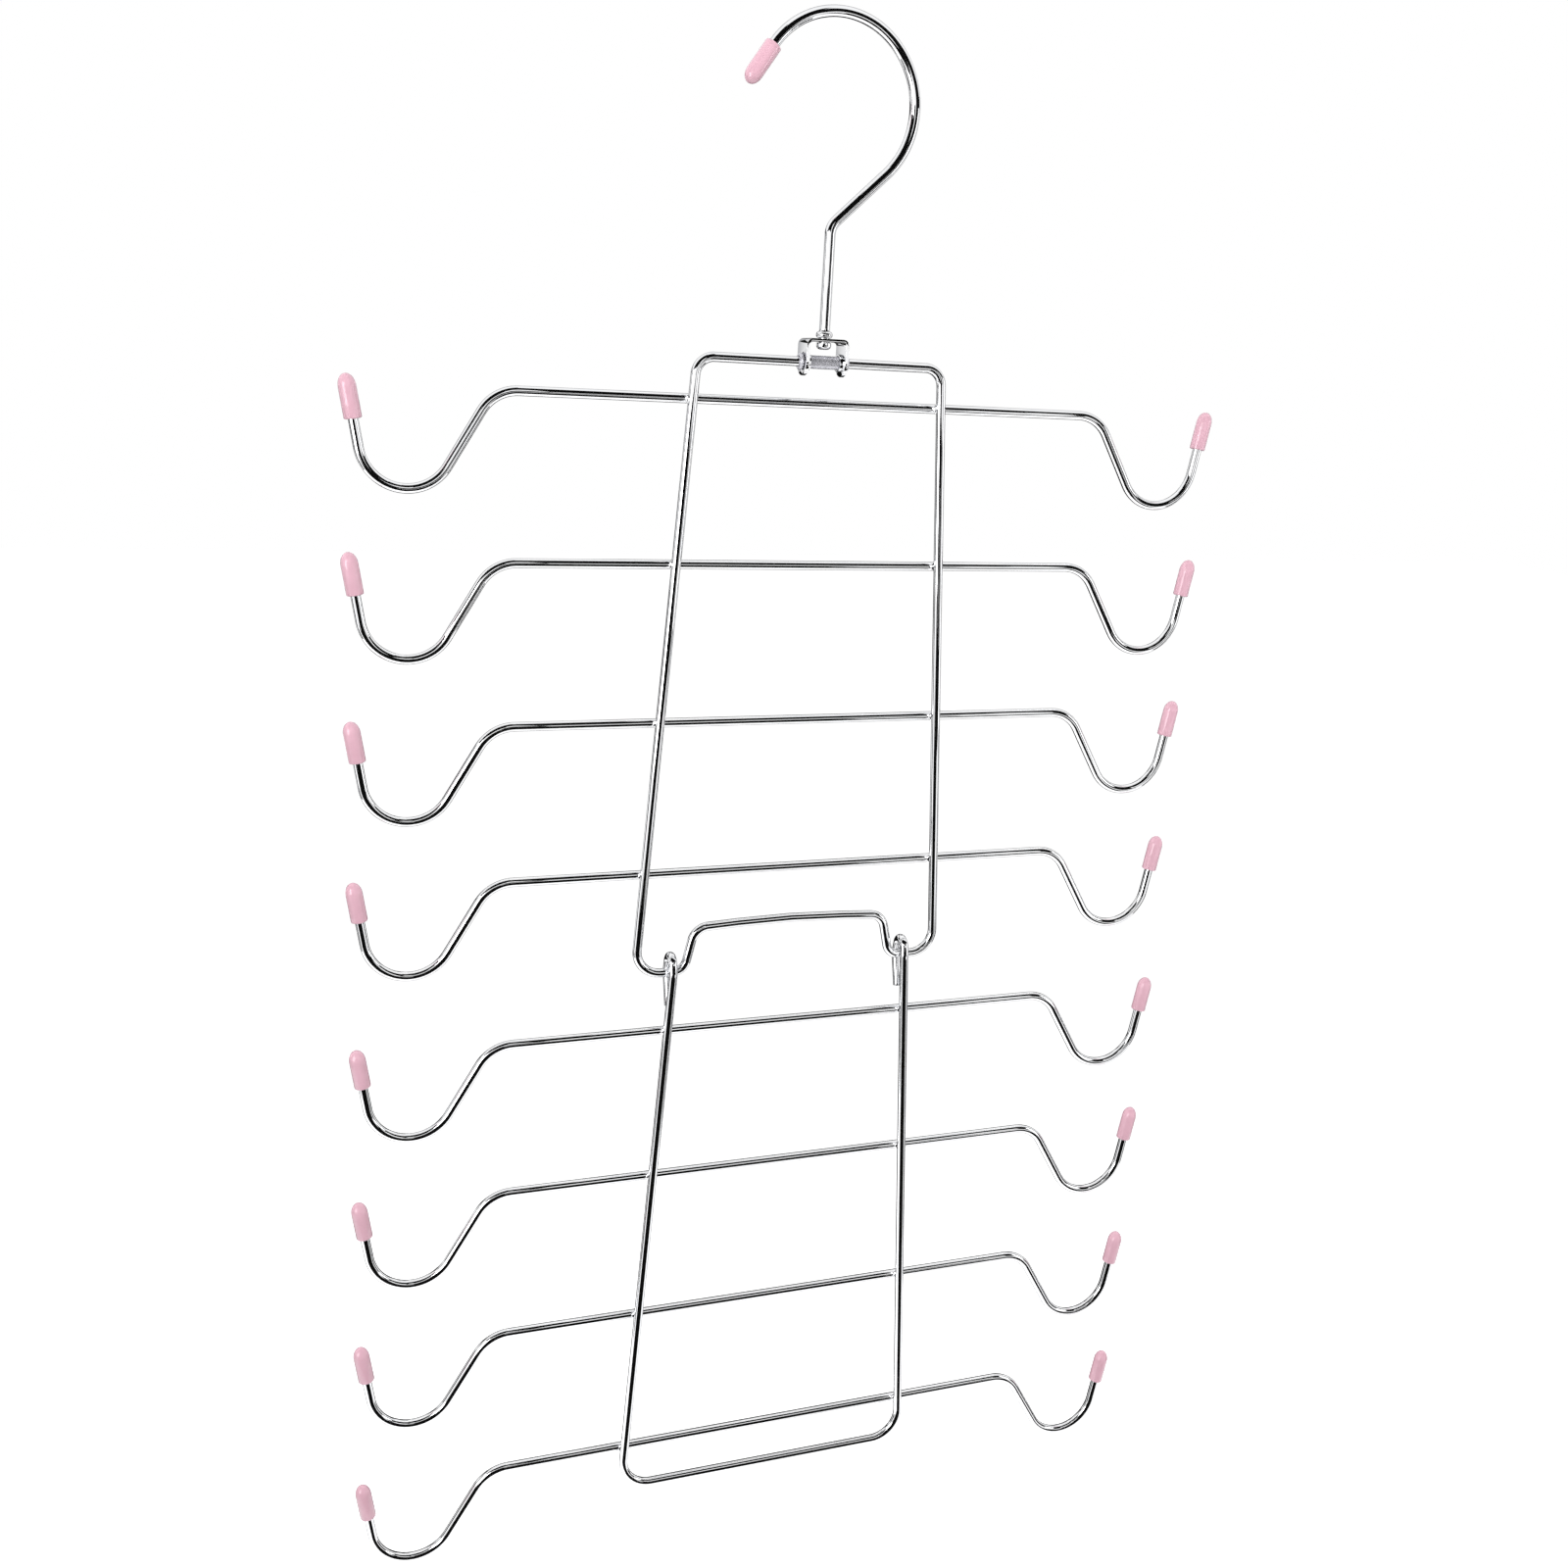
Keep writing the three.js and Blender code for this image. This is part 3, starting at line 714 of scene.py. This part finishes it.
def weld_bead(centre, seed):
    """Small uneven bead squeezed out where two wires are welded across each other."""
    bead = bmesh.new()
    bmesh.ops.create_icosphere(bead, subdivisions=BEAD_SUBDIVISIONS, radius=1.0)
    start = Vector([seed * drift for drift in BEAD_DRIFT])
    for v in bead.verts:
        lump = 1 + BEAD_LUMPS * noise.noise(v.co * BEAD_LUMP_SCALE + start)
        flat = Vector((BEAD_RADIUS * v.co.x, BEAD_HALF_THICKNESS * v.co.y, BEAD_RADIUS * v.co.z))
        v.co = centre + flat * lump
    verts = [v.co.copy() for v in bead.verts]
    faces = [tuple(v.index for v in f.verts) for f in bead.faces]
    bead.free()
    return verts, faces


def make_welds(name, body, heights, plane, half_width):
    verts, faces = [], []
    for i, height in enumerate(heights):
        for sign in (-1, 1):
            centre = at(sign * half_width(height), height, plane + crossbar_behind / 2)
            bead_verts, bead_faces = weld_bead(centre, i + BEAD_SIDE_SEED * sign + BEAD_SEED)
            faces += [tuple(k + len(verts) for k in face) for face in bead_faces]
            verts += bead_verts
    places = [[(verts[k].z, verts[k].x / FLAT_TURN) for k in face] for face in faces]
    make_piece(name, (verts, faces, places), CHROME, body)


def between(low, low_width, high, high_width):
    """Half width of a tapering frame at a height."""
    return lambda z: (low_width + (high_width - low_width) * (z - low) / (high - low)) / 2


make_hook()
make_yoke()
make_sleeve()
make_upper_frame()
make_lower_frame()
for i, height in enumerate(upper_bars):
    make_tier(i + 1, height, crossbar_behind, "upper_section")
for i, height in enumerate(lower_bars):
    make_tier(TIERS + i + 1, height, lower_plane + crossbar_behind, "lower_section")
upper_half = between(dip, FOOT_WIDTH, pivot, UPPER_TOP_WIDTH)
lower_half = between(foot, FOOT_WIDTH, dip, EYE_SPACING)
make_welds("upper_welds", "upper_section", upper_bars, 0, upper_half)
make_welds("lower_welds", "lower_section", lower_bars, lower_plane, lower_half)

# Camera where the photograph's stood. From here on lengths are in metres; its turns are in degrees
CAMERA_PLACE = (-0.166919, -0.424724, -0.083864)
CAMERA_TURN = -20.935
CAMERA_LEVEL = 90
CAMERA_PITCH = -14.691
CAMERA_ROLL = 3.161
CAMERA_LENS = 37.662
CAMERA_SENSOR = 36
CAMERA_NEAR = 0.01

camera_data = bpy.data.cameras.new("camera")
camera_data.sensor_fit = "HORIZONTAL"
camera_data.sensor_width = CAMERA_SENSOR
camera_data.lens = CAMERA_LENS
camera_data.clip_start = CAMERA_NEAR
camera = linked("camera", camera_data)
camera.matrix_world = (
    Matrix.Translation(CAMERA_PLACE)
    @ Matrix.Rotation(math.radians(CAMERA_TURN), 4, "Z")
    @ Matrix.Rotation(math.radians(CAMERA_LEVEL + CAMERA_PITCH), 4, "X")
    @ Matrix.Rotation(math.radians(CAMERA_ROLL), 4, "Z")
)
bpy.context.scene.camera = camera

# Floor far below the hanger, whose glow rises from near to far
FLOOR_HEIGHT = -0.9
FLOOR_REACH = 6
FLOOR_NEAR = 1.0
FLOOR_FAR = 2.2
FLOOR_NEAR_GLOW = 0.6
FLOOR_FAR_GLOW = 0.78


def flat_card(name, corners, material):
    mesh = bpy.data.meshes.new(name)
    mesh.from_pydata([Vector(c) for c in corners], [], [tuple(range(len(corners)))])
    mesh.materials.append(material)
    card = linked(name, mesh)
    return card


def leave_to_mirrors(card):
    """Only reflections show the card: it is not seen, casts no shadow and gives off no soft light."""
    card.visible_camera = False
    card.visible_diffuse = False
    card.visible_shadow = False
    card.visible_transmission = False


def floor_material():
    """Pale floor that is white to the camera and in the chrome, and takes a soft shadow."""
    material, nodes, shader = new_material("pale_floor")
    where = nodes.object_place()
    grain = nodes.noise_at(where, scale=8.0)
    nodes.put(shader, "Base Color", nodes.colours(grain, grey(0.86), grey(0.88)))
    shader.inputs["Roughness"].default_value = 0.9
    rays = nodes.add("ShaderNodeLightPath").outputs
    shown = nodes.worked_out("MAXIMUM", rays["Is Camera Ray"], rays["Is Glossy Ray"])
    far = nodes.add("ShaderNodeVectorMath", {"operation": "LENGTH"}, Vector=where).outputs["Value"]
    glow = nodes.levels(far, FLOOR_NEAR_GLOW, FLOOR_FAR_GLOW, FLOOR_NEAR, FLOOR_FAR)
    shader.inputs["Emission Color"].default_value = (1, 1, 1, 1)
    nodes.put(shader, "Emission Strength", nodes.worked_out("MULTIPLY", shown, glow))
    return material


def dark_cloth():
    """Cloth of the flags."""
    material, nodes, shader = new_material("dark_cloth")
    weave = nodes.noise_at(nodes.object_place(), scale=60.0)
    nodes.put(shader, "Base Color", nodes.colours(weave, grey(0.004), grey(0.008)))
    shader.inputs["Roughness"].default_value = 1.0
    shader.inputs["Specular IOR Level"].default_value = 0.0
    return material


def lit_cloth(name, strength):
    """Cloth of a bright strip, lit a little unevenly."""
    material, nodes, shader = new_material(name)
    shader.inputs["Base Color"].default_value = (0, 0, 0, 1)
    shader.inputs["Specular IOR Level"].default_value = 0.0
    weave = nodes.noise_at(nodes.object_place(), scale=30.0)
    low, high = (1 - STRIP_UNEVENNESS) * strength, (1 + STRIP_UNEVENNESS) * strength
    glow = nodes.levels(weave, low, high, start=0.0, end=1.0)
    shader.inputs["Emission Color"].default_value = (1, 1, 1, 1)
    nodes.put(shader, "Emission Strength", glow)
    return material


def upright_card(x0, x1, y, z0, z1):
    return [(x0, y, z0), (x1, y, z0), (x1, y, z1), (x0, y, z1)]


def level_card(x0, x1, y0, y1, z):
    return [(x0, y0, z), (x1, y0, z), (x1, y1, z), (x0, y1, z)]


def side_card(x, y0, y1, z0, z1):
    return [(x, y0, z0), (x, y1, z0), (x, y1, z1), (x, y0, z1)]


floor = level_card(-FLOOR_REACH, FLOOR_REACH, -FLOOR_REACH, FLOOR_REACH, FLOOR_HEIGHT)
flat_card("floor", floor, floor_material())

# Dark flags around the hanger, whose reflections draw the dark lines along the chrome
FLAGS = {
    # Overhead and at brow height, for the upper line along the crossbars and the loop
    "above": level_card(-0.6, 0.9, -0.43, -0.12, 0.10),
    "above_left": level_card(-0.6, -0.05, -0.12, -0.04, 0.10),
    "above_mid": level_card(-0.05, 0.03, -0.12, -0.07, 0.10),
    "brow": upright_card(0.02, 0.9, -0.43, 0.0, 0.10),
    # Low in front, for the lower line along the crossbars
    "below": upright_card(-0.09, 0.20, -0.40, -0.85, -0.24),
    "below_right": upright_card(0.20, 0.46, -0.40, -0.85, -0.41),
    "below_edge": upright_card(0.20, 0.46, -0.40, -0.30, -0.24),
    # Around the camera, for the middle line of the upright wires
    "upright": upright_card(-0.42, -0.07, -0.43, -0.85, -0.09),
    "stem": upright_card(0.02, 0.30, -0.43, -0.075, 0.0),
    "low": upright_card(-0.75, -0.42, -0.43, -0.85, -0.40),
    "tall": upright_card(-0.30, -0.07, -0.43, 0.02, 0.2),
    "lens": upright_card(-0.07, 0.02, -0.43, -0.17, -0.05),
    # Beyond the camera, for the lower line along the upper crossbars
    "far": upright_card(-0.15, 0.55, -1.0, -0.36, -0.16),
    # At the sides, for the lines near the edges of the upright wires
    "right": side_card(0.9, -0.45, -0.05, -0.85, -0.2),
    "right_front": upright_card(0.33, 0.62, -0.43, -0.26, 0.0),
    "left": side_card(-0.9, -0.2, -0.03, -0.85, -0.58),
    "left_rear": side_card(-0.9, 0.03, 0.2, -0.85, 0.2),
    "wing": upright_card(-0.62, -0.42, -0.43, -0.40, 0.02),
}
# Flags stand in front as listed and behind turned half round the stem, but these on one side only
ONLY_FRONT = ("above", "above_left", "above_mid", "stem")
ONLY_BACK = ("wing",)
cloth = dark_cloth()
for name, corners in FLAGS.items():
    for side, sign, left_out in (("front", 1, ONLY_BACK), ("back", -1, ONLY_FRONT)):
        if name not in left_out:
            turned = [(sign * x, sign * y, z) for x, y, z in corners]
            leave_to_mirrors(flat_card(f"flag_{name}_{side}", turned, cloth))

# Bright strips that the glossy caps mirror as pale streaks: two ends on the plan, and a strength
STRIP_FOOT = -0.33
STRIP_TOP = 0.25
STRIP_UNEVENNESS = 0.05
STRIPS = {
    "strip_left": ((-0.56, -0.59), (-0.736, -0.278), 6.0),
    "strip_right": ((0.66, -0.45), (0.736, -0.278), 2.5),
}
for name, (near, far, strength) in STRIPS.items():
    corners = [(*near, STRIP_FOOT), (*far, STRIP_FOOT), (*far, STRIP_TOP), (*near, STRIP_TOP)]
    leave_to_mirrors(flat_card(name, corners, lit_cloth(name, strength)))

# A white room, whose light on the part is weaker than its look
ROOM_LIGHT = 0.27
ROOM_LOOK = 1.0

world = bpy.data.worlds.new("studio")
world.use_nodes = True
bpy.context.scene.world = world
world.node_tree.nodes.clear()
room = Nodes(world.node_tree)
rays = room.add("ShaderNodeLightPath").outputs
shown = room.worked_out("MAXIMUM", rays["Is Camera Ray"], rays["Is Glossy Ray"])
shown = room.worked_out("MAXIMUM", shown, rays["Is Transmission Ray"])
level = room.levels(shown, ROOM_LIGHT, ROOM_LOOK, start=0.0, end=1.0)
background = room.add("ShaderNodeBackground", Color=(1, 1, 1, 1), Strength=level)
room.add("ShaderNodeOutputWorld", Surface=background.outputs["Background"])

# Soft lamps in front, at both sides and behind: place, target, width, height and watts
LAMPS = {
    "key": ((0.0, -0.75, 0.5), (0, 0, -0.15), 0.6, 0.6, 5.3),
    "window": ((-1.4, -0.9, 0.15), (0, 0, -0.2), 0.5, 1.0, 6),
    "fill_left": ((-0.53, -0.4, 0.1), (-0.05, 0, -0.1), 0.14, 0.4, 1.4),
    "fill_right": ((0.5, -0.3, -0.2), (0.1, 0, -0.25), 0.08, 0.5, 0.8),
    "back_left": ((-0.7, 0.8, 0.2), (0, 0, -0.2), 0.6, 0.8, 6),
    "back_right": ((0.7, 0.8, 0.2), (0, 0, -0.2), 0.6, 0.8, 6),
}
for name, (place, target, width, height, watts) in LAMPS.items():
    data = bpy.data.lights.new(name, "AREA")
    data.shape = "RECTANGLE"
    data.size = width
    data.size_y = height
    data.energy = watts
    lamp = linked(name, data)
    lamp.location = place
    lamp.rotation_euler = (Vector(target) - Vector(place)).to_track_quat("-Z", "Y").to_euler()
    lamp.visible_glossy = False

bpy.context.scene.view_settings.view_transform = "Standard"
